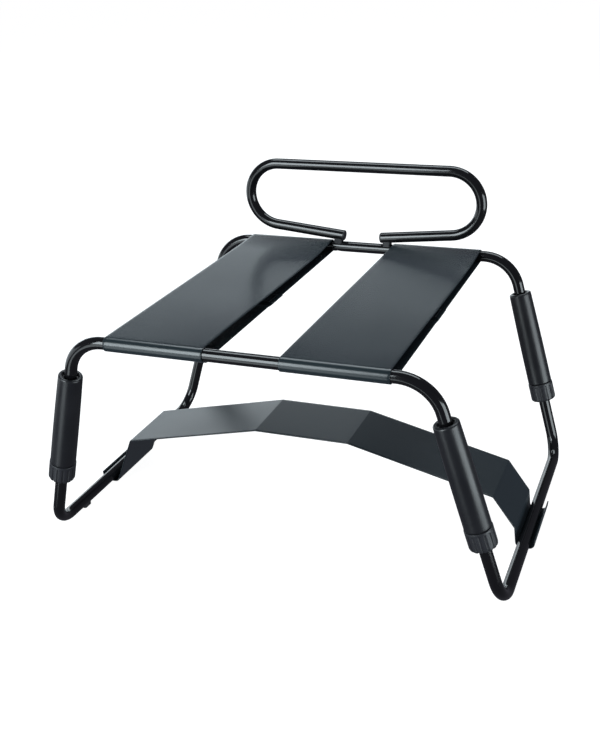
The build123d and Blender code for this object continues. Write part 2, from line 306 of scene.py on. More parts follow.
def gloss_powder_coat():
    """Smooth black powder coat with a faint orange peel."""
    finish = Finish("gloss_black_powder_coat", Specular_IOR_Level=0.5, IOR=1.5)
    where = finish.place()
    peel = finish.noise(where, 420, 1.5, 0.45)
    cloud = finish.noise(where, 24, 3.0)
    finish.colour(finish.tones(cloud, (0.0035, 0.0035, 0.0042), (0.0065, 0.0065, 0.0075)))
    finish.rough(finish.spread(cloud, 0.3, 0.7, 0.10, 0.14))
    finish.bump(peel, 0.00004, 0.35)
    return finish.material


def webbing(name, dark, light, roughness, warp=0.0011, weft=0.0008, edge_from=0.06):
    """Flat woven webbing: fine ribs along the strap, picks across it and a firmer selvedge."""
    finish = Finish(name, Sheen_Weight=0.06, Sheen_Roughness=0.4, Specular_IOR_Level=0.5)
    finish.shader.inputs["Sheen Tint"].default_value = (0.75, 0.85, 1.0, 1)
    split = finish.node("ShaderNodeSeparateXYZ")
    finish.link(finish.place("UV"), split.inputs[0])
    across, along = split.outputs[0], split.outputs[1]
    turn = 2 * math.pi
    column = finish.math("MULTIPLY", across, turn / (2 * warp))
    row = finish.math("MULTIPLY", along, turn / (2 * weft))
    over = finish.math("MULTIPLY", finish.math("SINE", column), finish.math("SINE", row))
    ribs = finish.math("ABSOLUTE", finish.math("SINE", column))
    picks = finish.math("ABSOLUTE", finish.math("SINE", row))
    weave = finish.math("ADD", finish.math("MULTIPLY", ribs, 0.6), finish.math("MULTIPLY", picks, 0.25))
    weave = finish.math("ADD", weave, finish.math("MULTIPLY", over, 0.15))
    inner = finish.math("LESS_THAN", finish.math("ABSOLUTE", across), edge_from)
    selvedge = finish.math("SUBTRACT", 1.0, inner)
    where = finish.place()
    cloud = finish.noise(where, 9, 4.0, 0.55)
    fibre = finish.noise(where, 1400, 2.0)
    # The weave term makes the colour darker in the weave's gaps and lighter on its crests: painted shade in
    # the weave's hollows, mixed with random cloud and fibre tone.
    tone = finish.math("ADD", finish.math("MULTIPLY", weave, 0.5), finish.math("MULTIPLY", cloud, 0.35))
    tone = finish.math("ADD", tone, finish.math("MULTIPLY", fibre, 0.15))
    tone = finish.math("SUBTRACT", tone, finish.math("MULTIPLY", selvedge, 0.08))
    finish.colour(finish.tones(tone, dark, light))
    # The spread is narrow, because a wide one breaks the cloth's sheen up into curved marks.
    finish.rough(finish.spread(cloud, 0.3, 0.7, roughness - 0.02, roughness + 0.02))
    height = finish.math("ADD", weave, finish.math("MULTIPLY", fibre, 0.4))
    finish.bump(height, 0.000005, 0.5)
    return finish.material


def foam_skin():
    """Closed-cell foam with a fine pore texture and a slightly rubbed skin."""
    finish = Finish("closed_cell_foam", Specular_IOR_Level=0.5)
    where = finish.place()
    pores = finish.cells(where, 1500)
    grain = finish.noise(where, 700, 3.0, 0.6)
    cloud = finish.noise(where, 30, 3.0)
    finish.colour(finish.tones(cloud, (0.0070, 0.0074, 0.0095), (0.0125, 0.0132, 0.0160)))
    finish.rough(finish.spread(cloud, 0.3, 0.7, 0.30, 0.37))
    height = finish.math("ADD", finish.math("MULTIPLY", pores, 0.6), grain)
    finish.bump(height, 0.00005, 0.5)
    return finish.material


def moulded(name, dark, light, roughness, texture=0.00006, scale=900):
    """Moulded plastic or rubber with a fine spark-eroded texture."""
    finish = Finish(name, Specular_IOR_Level=0.5)
    where = finish.place()
    grain = finish.noise(where, scale, 2.5, 0.6)
    cloud = finish.noise(where, 40, 3.0)
    finish.colour(finish.tones(cloud, dark, light))
    finish.rough(finish.spread(grain, 0.3, 0.7, roughness - 0.05, roughness + 0.06))
    finish.bump(grain, texture, 0.5)
    return finish.material


def black_oxide():
    """Black-oxide steel with turned marks."""
    finish = Finish("black_oxide_steel", Metallic=1.0)
    where = finish.place()
    marks = finish.noise(where, 1800, 2.0)
    cloud = finish.noise(where, 160, 3.0)
    finish.colour(finish.tones(cloud, (0.035, 0.036, 0.040), (0.075, 0.076, 0.082)))
    finish.rough(finish.spread(marks, 0.3, 0.7, 0.30, 0.42))
    finish.bump(marks, 0.00003, 0.4)
    return finish.material


def sewing_thread():
    """Twisted polyester thread."""
    finish = Finish("sewing_thread", Roughness=0.5, Sheen_Weight=0.3, Sheen_Roughness=0.4)
    where = finish.place()
    twist = finish.noise(where, 2600, 1.0)
    finish.colour(finish.tones(twist, (0.020, 0.022, 0.027), (0.060, 0.065, 0.075)))
    finish.bump(twist, 0.00008, 0.6)
    return finish.material


# ---------------------------------------------------------------- mesh helpers
def new_piece(name, mesh, body, material=None):
    """Link a finished mesh as a piece at the origin that rides on a body."""
    piece = bpy.data.objects.new(name, mesh)
    bpy.context.scene.collection.objects.link(piece)
    if material:
        mesh.materials.clear()
        mesh.materials.append(material)
    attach(piece, body)
    return piece


def mesh_from(name, points, faces, smooth=True):
    mesh = bpy.data.meshes.new(name)
    mesh.from_pydata([tuple(point) for point in points], [], faces)
    mesh.update()
    if smooth:
        mesh.shade_smooth()
    return mesh


def lathe(name, profile, segments):
    """Turn a closed profile of (radius, height) points round Z."""
    points = []
    for step in range(segments):
        angle = 2 * math.pi * step / segments
        points += [(radius * math.cos(angle), radius * math.sin(angle), height) for radius, height in profile]
    count = len(profile)
    faces = []
    for step in range(segments):
        here, there = step * count, (step + 1) % segments * count
        for place in range(count):
            after = (place + 1) % count
            faces.append((here + place, there + place, there + after, here + after))
    return mesh_from(name, points, faces)


def arc(centre, radius, start, stop, steps):
    """Points of an arc in (radius, height), angles in degrees from the outward direction."""
    return [
        (
            centre[0] + radius * math.cos(math.radians(start + (stop - start) * step / steps)),
            centre[1] + radius * math.sin(math.radians(start + (stop - start) * step / steps)),
        )
        for step in range(steps + 1)
    ]


def rows(first, last, spacing):
    """Points from first up to but without last, no further apart than the spacing."""
    first, last = Vector(first), Vector(last)
    count = max(1, math.ceil((last - first).length / spacing))
    return [tuple(first.lerp(last, step / count)) for step in range(count)]


def rounded_path(corners, radii, spacing):
    """Plane path through corners with an arc at each inner corner, points no further apart than spacing."""
    corners = [Vector(corner) for corner in corners]
    path = [corners[0]]
    for before, corner, after, radius in zip(corners, corners[1:], corners[2:], radii):
        into, out = (corner - before).normalized(), (after - corner).normalized()
        turn = into.angle(out)
        reach = radius * math.tan(turn / 2)
        start = corner - into * reach
        path += rows(path[-1], start, spacing)[1:]
        side = math.copysign(1, into.x * out.y - into.y * out.x)
        centre = start + Vector((-into.y, into.x)) * side * radius
        steps = max(3, math.ceil(turn / math.radians(9)))
        for step in range(steps + 1):
            angle = side * turn * step / steps
            spoke = start - centre
            cosine, sine = math.cos(angle), math.sin(angle)
            turned = Vector((spoke.x * cosine - spoke.y * sine, spoke.x * sine + spoke.y * cosine))
            path.append(centre + turned)
    path += rows(path[-1], corners[-1], spacing)[1:]
    path.append(corners[-1])
    return [Vector(point) for point in path]


def band(name, path, to_frame, width, thickness, columns, lift=None):
    """Flat strap with rounded edges along a plane path.

    to_frame turns (across, path x, path y) into a point of the frame. lift(share of the width, point)
    moves the cloth along its own normal. The UV map runs across and along the cloth in metres."""
    half, edge = width / 2 - thickness / 2, thickness / 2
    flat = [half - 2 * half * step / columns for step in range(columns + 1)]
    rounding = np.linspace(0, math.pi, 6)[1:-1]
    ring = [(place, edge) for place in flat]
    ring += [(-half - edge * math.sin(turn), edge * math.cos(turn)) for turn in rounding]
    ring += [(place, -edge) for place in reversed(flat)]
    ring += [(half + edge * math.sin(turn), -edge * math.cos(turn)) for turn in rounding]
    along, points, where = 0.0, [], []
    for index, point in enumerate(path):
        ahead = path[min(index + 1, len(path) - 1)] - path[max(index - 1, 0)]
        ahead.normalize()
        normal = Vector((-ahead.y, ahead.x))
        if index:
            along += (point - path[index - 1]).length
        for across, out in ring:
            push = out + (lift(across / width + 0.5, point) if lift else 0.0)
            spot = point + normal * push
            points.append(to_frame(across, spot.x, spot.y))
            where.append((across, along))
    count = len(ring)
    faces = []
    for index in range(len(path) - 1):
        here, there = index * count, (index + 1) * count
        for place in range(count):
            after = (place + 1) % count
            faces.append((here + place, there + place, there + after, here + after))
    last = (len(path) - 1) * count
    for place in range(columns):
        first, second = place, place + 1
        third, fourth = count - 5 - second, count - 5 - first
        faces.append((first, second, third, fourth))
        faces.append((last + fourth, last + third, last + second, last + first))
    corner = len(flat)
    ends = [list(range(corner - 1, corner + 5)), [*range(2 * corner + 3, count), 0]]
    for end in ends:
        faces.append(tuple(end))
        faces.append(tuple(last + place for place in reversed(end)))
    mesh = mesh_from(name, points, faces)
    layer = mesh.uv_layers.new(name="cloth")
    for loop in mesh.loops:
        layer.data[loop.index].uv = where[loop.vertex_index]
    return mesh


def turned_outwards(mesh):
    """Flip a closed mesh whose faces point inwards, by the sign of its volume."""
    mesh.calc_loop_triangles()
    points = np.array([vertex.co for vertex in mesh.vertices])
    corners = points[np.array([triangle.vertices for triangle in mesh.loop_triangles])]
    volume = np.einsum("ij,ij->i", corners[:, 0], np.cross(corners[:, 1], corners[:, 2])).sum()
    if volume < 0:
        mesh.flip_normals()
    return mesh


# ---------------------------------------------------------------- geometry node helpers
class Tree:
    """A geometry node tree with named inputs and short calls for its nodes."""

    def __init__(self, name, **inputs):
        self.group = bpy.data.node_groups.new(name, "GeometryNodeTree")
        face = self.group.interface
        face.new_socket("Geometry", in_out="INPUT", socket_type="NodeSocketGeometry")
        face.new_socket("Geometry", in_out="OUTPUT", socket_type="NodeSocketGeometry")
        for label, kind in inputs.items():
            face.new_socket(label.replace("_", " "), in_out="INPUT", socket_type="NodeSocket" + kind)
        self.start = self.group.nodes.new("NodeGroupInput")
        self.end = self.group.nodes.new("NodeGroupOutput")

    def input(self, label):
        return self.start.outputs[label]

    def node(self, kind, inputs=None, **settings):
        made = self.group.nodes.new(kind)
        for key, value in settings.items():
            setattr(made, key, value)
        for key, value in (inputs or {}).items():
            if isinstance(value, bpy.types.NodeSocket):
                self.group.links.new(value, made.inputs[key])
            else:
                made.inputs[key].default_value = value
        return made

    def math(self, operation, first, second=0.0):
        return self.node("ShaderNodeMath", {0: first, 1: second}, operation=operation).outputs[0]

    def sunk(self, x, y, radius, depth):
        """The incoming geometry with its points moved towards the Z axis by a depth."""
        share = self.math("DIVIDE", self.math("MULTIPLY", depth, -1.0), radius)
        inward = self.node(
            "ShaderNodeCombineXYZ",
            {0: self.math("MULTIPLY", x, share), 1: self.math("MULTIPLY", y, share), 2: 0.0},
        )
        moved = self.node(
            "GeometryNodeSetPosition", {"Geometry": self.input("Geometry"), "Offset": inward.outputs[0]}
        )
        return moved.outputs[0]

    def finish(self, geometry):
        """End the tree in Realize Instances and Set Material."""
        real = self.node("GeometryNodeRealizeInstances", {0: geometry})
        painted = self.node("GeometryNodeSetMaterial", {0: real.outputs[0], "Material": self.input("Finish")})
        self.group.links.new(painted.outputs[0], self.end.inputs[0])
        return self.group


def grow(name, base, group, **values):
    """Run a tree on a base mesh and keep the result as a plain mesh."""
    holder = bpy.data.objects.new(name + "_base", base)
    bpy.context.scene.collection.objects.link(holder)
    modifier = holder.modifiers.new("grow", "NODES")
    modifier.node_group = group
    for item in group.interface.items_tree:
        label = item.name.replace(" ", "_")
        if item.in_out == "INPUT" and label in values:
            modifier[item.identifier] = values[label]
    graph = bpy.context.evaluated_depsgraph_get()
    mesh = bpy.data.meshes.new_from_object(holder.evaluated_get(graph), depsgraph=graph)
    mesh.name = name
    holder.modifiers.remove(modifier)
    bpy.data.objects.remove(holder)
    return mesh


def bent_tube_tree():
    """Tube bent along the base mesh's edges, hollow, with holes where the cutters stand."""
    tree = Tree(
        "bent_tube", Radius="Float", Wall="Float", Bend_Radius="Float", Sides="Int", Spacing="Float",
        Overrun="Float", Cutters="Object", Finish="Material",
    )
    line = tree.node("GeometryNodeMeshToCurve", {0: tree.input("Geometry")})
    bent = tree.node(
        "GeometryNodeFilletCurve",
        {"Curve": line.outputs[0], "Count": 40, "Radius": tree.input("Bend Radius"), "Limit Radius": False},
        mode="POLY",
    )
    length = tree.node("GeometryNodeCurveLength", {"Curve": bent.outputs[0]}).outputs[0]
    overrun = tree.input("Overrun")
    trimmed = tree.node(
        "GeometryNodeTrimCurve",
        {"Curve": bent.outputs[0], 4: overrun, 5: tree.math("SUBTRACT", length, overrun)},
        mode="LENGTH",
    )

    def skin(line, radius):
        even = tree.node(
            "GeometryNodeResampleCurve", {"Curve": line.outputs[0], "Length": tree.input("Spacing")},
            mode="LENGTH",
        )
        circle = tree.node(
            "GeometryNodeCurvePrimitiveCircle", {"Resolution": tree.input("Sides"), "Radius": radius}
        )
        swept = tree.node(
            "GeometryNodeCurveToMesh",
            {"Curve": even.outputs[0], "Profile Curve": circle.outputs[0], "Fill Caps": True},
        )
        return swept.outputs[0]

    bore = tree.math("SUBTRACT", tree.input("Radius"), tree.input("Wall"))
    cutters = tree.node("GeometryNodeObjectInfo", {"Object": tree.input("Cutters")})
    hollow = tree.node(
        "GeometryNodeMeshBoolean",
        {"Mesh 1": skin(trimmed, tree.input("Radius")), "Mesh 2": skin(bent, bore)},
        operation="DIFFERENCE", solver="MANIFOLD",
    )
    pierced = tree.node(
        "GeometryNodeMeshBoolean", {"Mesh 1": hollow.outputs[0], "Mesh 2": cutters.outputs["Geometry"]},
        operation="DIFFERENCE", solver="MANIFOLD",
    )
    return tree, pierced.outputs[0]


def fluted_tree():
    """Cut even flutes down the outside of a turned body and leave its upper rim proud."""
    tree = Tree(
        "fluted_collar", Flutes="Int", Flute_Depth="Float", Flute_Width="Float", Edge="Float",
        Outer_Radius="Float", Rim_Height="Float", Finish="Material",
    )
    place = tree.node("GeometryNodeInputPosition")
    split = tree.node("ShaderNodeSeparateXYZ", {0: place.outputs[0]})
    x, y, z = split.outputs
    radius = tree.math("SQRT", tree.math("ADD", tree.math("MULTIPLY", x, x), tree.math("MULTIPLY", y, y)))
    angle = tree.math("ARCTAN2", y, x)
    pitch = tree.math("DIVIDE", 2 * math.pi, tree.input("Flutes"))
    phase = tree.math("SUBTRACT", tree.math("FRACT", tree.math("DIVIDE", angle, pitch)), 0.5)
    arc_length = tree.math("MULTIPLY", tree.math("MULTIPLY", phase, pitch), tree.input("Outer Radius"))
    half = tree.math("MULTIPLY", tree.input("Flute Width"), 0.5)

    def step(value, low, high):
        made = tree.node(
            "ShaderNodeMapRange", {"Value": value, "From Min": low, "From Max": high},
            interpolation_type="SMOOTHSTEP",
        )
        return made.outputs["Result"]

    wall = step(
        tree.math("ABSOLUTE", arc_length),
        tree.math("ADD", half, tree.input("Edge")),
        tree.math("SUBTRACT", half, tree.input("Edge")),
    )
    below = step(z, tree.input("Rim Height"), tree.math("ADD", tree.input("Rim Height"), tree.input("Edge")))
    outside = step(
        radius,
        tree.math("MULTIPLY", tree.input("Outer Radius"), 0.72),
        tree.math("MULTIPLY", tree.input("Outer Radius"), 0.90),
    )
    depth = tree.math("MULTIPLY", tree.math("MULTIPLY", wall, below), outside)
    depth = tree.math("MULTIPLY", depth, tree.input("Flute Depth"))
    return tree.finish(tree.sunk(x, y, radius, depth))


def threaded_tree():
    """Roll a single-start thread into the outside of a turned sleeve between two heights."""
    tree = Tree(
        "threaded_sleeve", Pitch="Float", Thread_Depth="Float", Thread_Start="Float", Thread_End="Float",
        Outer_Radius="Float", Finish="Material",
    )
    place = tree.node("GeometryNodeInputPosition")
    split = tree.node("ShaderNodeSeparateXYZ", {0: place.outputs[0]})
    x, y, z = split.outputs
    radius = tree.math("SQRT", tree.math("ADD", tree.math("MULTIPLY", x, x), tree.math("MULTIPLY", y, y)))
    turns = tree.math("DIVIDE", tree.math("ARCTAN2", y, x), 2 * math.pi)
    phase = tree.math("FRACT", tree.math("SUBTRACT", tree.math("DIVIDE", z, tree.input("Pitch")), turns))
    flank = tree.math("MULTIPLY", tree.math("ABSOLUTE", tree.math("SUBTRACT", phase, 0.5)), 2.0)
    groove = tree.math("MAXIMUM", tree.math("SUBTRACT", tree.math("MULTIPLY", flank, 1.4), 0.4), 0.0)
    inside = tree.math("GREATER_THAN", z, tree.input("Thread Start"))
    inside = tree.math("MULTIPLY", inside, tree.math("LESS_THAN", z, tree.input("Thread End")))
    skin = tree.math("GREATER_THAN", radius, tree.math("MULTIPLY", tree.input("Outer Radius"), 0.97))
    depth = tree.math("MULTIPLY", tree.math("MULTIPLY", groove, inside), skin)
    depth = tree.math("MULTIPLY", depth, tree.input("Thread Depth"))
    return tree.finish(tree.sunk(x, y, radius, depth))


def stitch_tree():
    """Lay a short stitch along every stretch of the base mesh's edges."""
    tree = Tree("stitch_rows", Pitch="Float", Stitch_Length="Float", Thread_Radius="Float", Finish="Material")
    line = tree.node("GeometryNodeMeshToCurve", {0: tree.input("Geometry")})
    spots = tree.node(
        "GeometryNodeCurveToPoints", {"Curve": line.outputs[0], "Length": tree.input("Pitch")}, mode="LENGTH"
    )
    bead = tree.node("GeometryNodeMeshUVSphere", {"Segments": 8, "Rings": 5, "Radius": 1.0})
    half = tree.math("MULTIPLY", tree.input("Stitch Length"), 0.5)
    thread_radius = tree.input("Thread Radius")
    size = tree.node("ShaderNodeCombineXYZ", {0: thread_radius, 1: thread_radius, 2: half})
    laid = tree.node(
        "GeometryNodeInstanceOnPoints",
        {
            "Points": spots.outputs["Points"],
            "Instance": bead.outputs["Mesh"],
            "Rotation": spots.outputs["Rotation"],
            "Scale": size.outputs[0],
        },
    )
    return tree.finish(laid.outputs[0])


# ---------------------------------------------------------------- frame tubes
def leg_line(end_name, side_name):
    """A point on a leg's centre line and its direction down the leg."""
    joint = joints["collar_turn_" + end_name + "_" + side_name]
    return Vector(joint["pos_m"]), Vector(joint["axis"]).normalized()


def leg_at_height(end_name, side_name, height):
    """Where a leg's centre line crosses a height."""
    point, down = leg_line(end_name, side_name)
    return point + down * ((height - point.z) / down.z)


def span(node, point, direction):
    """How far a CAD node reaches along a line, measured from a point on it."""
    places = [(vertex.co - point).dot(direction) for vertex in nodes[node].data.vertices]
    return min(places), max(places)


def path_mesh(name, corners):
    mesh = bpy.data.meshes.new(name)
    mesh.from_pydata(corners, [(place, place + 1) for place in range(len(corners) - 1)], [])
    return mesh


def overrun_ends(corners, length):
    """Corners of a centre line with both ends drawn out by a length."""
    first = corners[0] + (corners[0] - corners[1]).normalized() * length
    last = corners[-1] + (corners[-1] - corners[-2]).normalized() * length
    return [first, *corners[1:-1], last]


def cutter(name, drills):
    """One object of upright drills: (x, y, [(radius, height) from the lower end up])."""
    points, faces = [], []
    sides = 48
    for x, y, steps in drills:
        base = len(points)
        for radius, height in steps:
            for place in range(sides):
                turn = 2 * math.pi * place / sides
                points.append((x + radius * math.cos(turn), y + radius * math.sin(turn), height))
        for ring in range(len(steps) - 1):
            here, there = base + ring * sides, base + (ring + 1) * sides
            for place in range(sides):
                after = (place + 1) % sides
                faces.append((here + place, here + after, there + after, there + place))
        faces.append(tuple(base + place for place in reversed(range(sides))))
        faces.append(tuple(len(points) - sides + place for place in range(sides)))
    cutting = bpy.data.objects.new(name, mesh_from(name, points, faces, smooth=False))
    bpy.context.scene.collection.objects.link(cutting)
    return cutting


def build_tubes(finish):
    """Every frame tube, bent by one tree from the corners of its centre line."""
    tree, tube = bent_tube_tree()
    angle = tree.node("GeometryNodeInputMeshEdgeAngle")
    crisp = tree.math("GREATER_THAN", angle.outputs[0], math.radians(40))
    soft = tree.node("GeometryNodeSetShadeSmooth", {0: tube, "Shade Smooth": True})
    edged = tree.node(
        "GeometryNodeSetShadeSmooth", {0: soft.outputs[0], "Selection": crisp, "Shade Smooth": False},
        domain="EDGE",
    )
    group = tree.finish(edged.outputs[0])

    def tube_piece(name, corners, bend_radius, drills):
        cutting = cutter(name + "_cutter", drills)
        line = path_mesh(name, overrun_ends(corners, TUBE_OVERRUN))
        mesh = grow(
            name, line, group, Radius=TUBE_RADIUS, Wall=TUBE_WALL, Bend_Radius=bend_radius, Sides=72,
            Spacing=0.003, Overrun=TUBE_OVERRUN, Cutters=cutting, Finish=finish,
        )
        bpy.data.objects.remove(cutting)
        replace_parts(new_piece(name + "_skin", mesh, "frame"), name)

    for end_name in ENDS:
        node = end_name + "_top_tube"
        corners = []
        for side_name in SIDES:
            _, down = leg_line(end_name, side_name)
            corner = leg_at_height(end_name, side_name, bar_height)
            foot = corner + down * span(node, corner, down)[1]
            corners.append((foot, corner))
        bolt_drill = [
            (BOLT_ACCESS_RADIUS, bar_height - 0.02), (BOLT_ACCESS_RADIUS, bar_height),
            (BOLT_SHANK_RADIUS, bar_height), (BOLT_SHANK_RADIUS, bar_height + 0.02),
        ]
        bolted = SIDES.values() if end_name == "rear" else ()
        drills = [(side * bolt_x, bar_y, bolt_drill) for side in bolted]
        left, right = corners
        tube_piece(node, [left[0], left[1], right[1], right[0]], TOP_BEND_RADIUS, drills)

    for side_name, side in SIDES.items():
        node = side_name + "_side_tube"
        corners = []
        for end_name in ENDS:
            _, down = leg_line(end_name, side_name)
            corner = leg_at_height(end_name, side_name, rail_height)
            top = corner + down * span(node, corner, down)[0]
            corners.append((top, corner))
        foot_drill = [(FOOT_STEM_RADIUS, 0), (FOOT_STEM_RADIUS, rail_height)]
        drills = [(side * rail_x, end * foot_y, foot_drill) for end in ENDS.values()]
        front, rear = corners
        tube_piece(node, [front[0], front[1], rear[1], rear[0]], FLOOR_BEND_RADIUS, drills)

    # Hand rail: each lower arm rises outwards to the lower corner of its end loop.
    bolt_height = bar_height + 2 * TUBE_RADIUS + SADDLE_WEB
    radius = end_loop_radius(bolt_height)
    rise = math.tan(ARM_SLOPE)
    corners = []
    for side in SIDES.values():
        start = Vector((side * (bolt_x - ARM_OVERHANG), bar_y, bolt_height - ARM_OVERHANG * rise))
        turn = Vector((side * handle_x, bar_y, bolt_height + (handle_x - bolt_x) * rise))
        top = Vector((side * handle_x, bar_y, handle_top))
        corners.append((start, turn, top))
    left, right = corners
    nut_drill = [(RIVET_NUT_RADIUS, bolt_height - 0.016), (RIVET_NUT_RADIUS, bolt_height)]
    drills = [(side * bolt_x, bar_y, nut_drill) for side in SIDES.values()]
    tube_piece("handle_tube", [*left, *reversed(right)], radius, drills)


def end_loop_radius(bolt_height):
    """Radius of the loop that joins a sloping lower arm to the level top bar."""
    cosine, sine = math.cos(ARM_SLOPE), math.sin(ARM_SLOPE)
    reach = handle_x - bolt_x
    return ((handle_top - bolt_height) * cosine - reach * sine) / (1 + cosine - sine)


# ---------------------------------------------------------------- grip joints
def on_leg(mesh, point, down):
    """Place a mesh drawn along Z on a leg, with Z down the leg."""
    across = Vector((0, 1, 0)).cross(down).normalized()
    deep = down.cross(across)
    mesh.transform(Matrix.Translation(point) @ Matrix((across, deep, down)).transposed().to_4x4())
    return mesh


def foam_profile(length, top_radius, bottom_radius, bore):
    """Foam sleeve with soft lips; heights run down the leg."""
    top_lip, bottom_lip, belly = 0.0027, 0.0016, 0.00035
    outer = []
    for radius, height in rows((top_radius, top_lip), (bottom_radius, length - bottom_lip), 0.002):
        bulge = belly * math.sin(math.pi * (height - top_lip) / (length - top_lip - bottom_lip))
        outer.append((radius + bulge, height))
    profile = arc((bore + top_lip * 0.8, top_lip * 0.8), top_lip * 0.8, 180, 270, 7)
    profile += arc((top_radius - top_lip, top_lip), top_lip, 270, 360, 9)[:-1]
    profile += outer
    profile += arc((bottom_radius - bottom_lip, length - bottom_lip), bottom_lip, 0, 90, 6)
    profile += rows((bore, length), (bore, top_lip * 0.8), 0.004)
    return profile


def collar_profile(length, radius, tube_bore, wall_profile):
    """Turned body of the twist collar; wall_profile lists the bore from the lower end upwards."""
    top_round, bottom_round = 0.0007, 0.0036
    profile = arc((radius - top_round, top_round), top_round, 270, 360, 4)[:-1]
    profile += rows((radius, top_round), (radius, length - bottom_round), 0.0005)
    profile += arc((radius - bottom_round, length - bottom_round), bottom_round, 0, 90, 10)
    profile += [(tube_bore + BORE_BREAK, length), (tube_bore, length - BORE_BREAK)]
    return profile + wall_profile


def build_grips(foam, collar, plastic, collet):
    flutes, threads = fluted_tree(), threaded_tree()
    for end_name in ENDS:
        for side_name in SIDES:
            leg = end_name + "_" + side_name
            point, down = leg_line(end_name, side_name)

            foam_top, foam_end = span("foam_grip_" + leg, point, down)
            radii = rim_radii("foam_grip_" + leg, point, down)
            coupler_top, coupler_end = span("coupler_" + leg, point, down)
            coupler_radius = widest("coupler_" + leg, point, down)
            collar_top, collar_end = span("twist_collar_" + leg, point, down)
            collar_radius = widest("twist_collar_" + leg, point, down)
            collet_top, collet_end = span("collet_" + leg, point, down)

            profile = foam_profile(foam_end - foam_top, radii[0], radii[1], coupler_radius)
            mesh = on_leg(turned_outwards(lathe("foam", profile, 128)), point + down * foam_top, down)
            piece = new_piece("foam_sleeve_" + leg, mesh, "frame", foam)
            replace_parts(piece, "foam_grip_" + leg)

            length = coupler_end - coupler_top
            bore, step = TUBE_RADIUS + SLIDE_FIT, TUBE_RADIUS - SHOULDER_STEP
            step_from, step_to = COUPLER_SHOULDER, COUPLER_SHOULDER + SHOULDER_HEIGHT
            thread_from = foam_end - coupler_top
            profile = [(bore + BORE_BREAK, 0), (coupler_radius - EDGE_BREAK, 0), (coupler_radius, EDGE_BREAK)]
            profile += rows((coupler_radius, 0.001), (coupler_radius, thread_from), 0.006)
            profile += rows((coupler_radius, thread_from), (coupler_radius, length - BORE_BREAK), 0.00025)
            profile += [
                (coupler_radius, length - BORE_BREAK), (coupler_radius - EDGE_BREAK, length), (bore, length),
                (bore, step_to), (step, step_to), (step, step_from), (bore, step_from), (bore, BORE_BREAK),
            ]
            mesh = turned_outwards(lathe("coupler", profile, 96))
            mesh = grow(
                "coupler", mesh, threads, Pitch=THREAD_PITCH, Thread_Depth=0.0007, Thread_Start=thread_from,
                Thread_End=length - 0.0004, Outer_Radius=coupler_radius, Finish=plastic,
            )
            on_leg(mesh, point + down * coupler_top, down)
            crisp_by_angle(mesh, 40)
            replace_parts(new_piece("coupler_sleeve_" + leg, mesh, "frame"), "coupler_" + leg)

            tube_bore = TUBE_RADIUS + COLLAR_CLEARANCE
            collet_bore = TUBE_RADIUS + COLLET_WALL + SLIDE_FIT
            tip_bore = TUBE_RADIUS + COLLET_TIP_WALL + SLIDE_FIT
            thread_bore = coupler_radius + SLIDE_FIT
            cone_start, cone_end = collet_end - COLLET_TAPER - collar_top, collet_end + SLIDE_FIT - collar_top
            thread_end = collet_top + SLIDE_FIT - collar_top
            bore_wall = [
                (tube_bore, cone_end), (tip_bore, cone_end),
                (collet_bore, cone_start), (collet_bore, thread_end),
                (thread_bore, thread_end), (thread_bore, EDGE_BREAK), (thread_bore + EDGE_BREAK, 0),
            ]
            profile = collar_profile(collar_end - collar_top, collar_radius, tube_bore, bore_wall)
            mesh = turned_outwards(lathe("collar", profile, 320))
            mesh = grow(
                "collar", mesh, flutes, Flutes=16, Flute_Depth=0.0012, Flute_Width=0.0027, Edge=0.00045,
                Outer_Radius=collar_radius, Rim_Height=0.0035, Finish=collar,
            )
            on_leg(mesh, point + down * collar_top, down)
            crisp_by_angle(mesh, 50)
            piece = new_piece("fluted_collar_" + leg, mesh, "twist_collar_" + leg)
            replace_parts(piece, "twist_collar_" + leg)

            repaint("collet_" + leg, collet)


def widest(node, point, down):
    """Largest distance of a CAD node's points from a leg's centre line."""
    spokes = [vertex.co - point for vertex in nodes[node].data.vertices]
    return max((spoke - down * spoke.dot(down)).length for spoke in spokes)


def rim_radii(node, point, down):
    """Outer radius of a CAD sleeve at its upper and at its lower end."""
    low, high = span(node, point, down)
    found = [0.0, 0.0]
    for vertex in nodes[node].data.vertices:
        along = (vertex.co - point).dot(down)
        radius = (vertex.co - point - down * along).length
        place = 0 if along - low < high - along else 1
        if min(along - low, high - along) < 0.0005:
            found[place] = max(found[place], radius)
    return found


def crisp_by_angle(mesh, degrees):
    """Keep edges crisp where the faces turn by more than an angle."""
    mesh.shade_smooth()
    mesh.set_sharp_from_angle(angle=math.radians(degrees))


def repaint(node, material):
    """Give a carried-over CAD node its finish."""
    nodes[node].data.materials.clear()
    nodes[node].data.materials.append(material)


# ---------------------------------------------------------------- straps
def seat_strap_path():
    """Path of the webbing in (y, z), from its inner end round both bars to its outer end."""
    reach = TUBE_RADIUS + STRAP_CLEARANCE + STRAP_THICKNESS / 2
    low, high = bar_height - reach, bar_height + reach
    lap = STRAP_THICKNESS + STRAP_LAP_GAP
    spacing = 0.005
    path = rows((-STRAP_SEAM / 2, low), (bar_y, low), spacing)
    path += [
        (bar_y + reach * math.sin(turn), bar_height - reach * math.cos(turn))
        for turn in np.linspace(0, math.pi, 29)[:-1]
    ]
    path += rows((bar_y, high), (-bar_y, high), spacing)
    path += [
        (-bar_y - reach * math.sin(turn), bar_height + reach * math.cos(turn))
        for turn in np.linspace(0, math.pi, 29)[:-1]
    ]
    path += rows((-bar_y, low), (-STRAP_SEAM / 2 - STRAP_SEAM_STEP, low), spacing)
    for step in range(8):
        share = step / 8
        ease = share * share * (3 - 2 * share)
        path.append((-STRAP_SEAM / 2 - STRAP_SEAM_STEP * (1 - share), low - lap * ease))
    path += rows((-STRAP_SEAM / 2, low - lap), (STRAP_SEAM / 2, low - lap), spacing)
    path.append((STRAP_SEAM / 2, low - lap))
    return [Vector(point) for point in path]


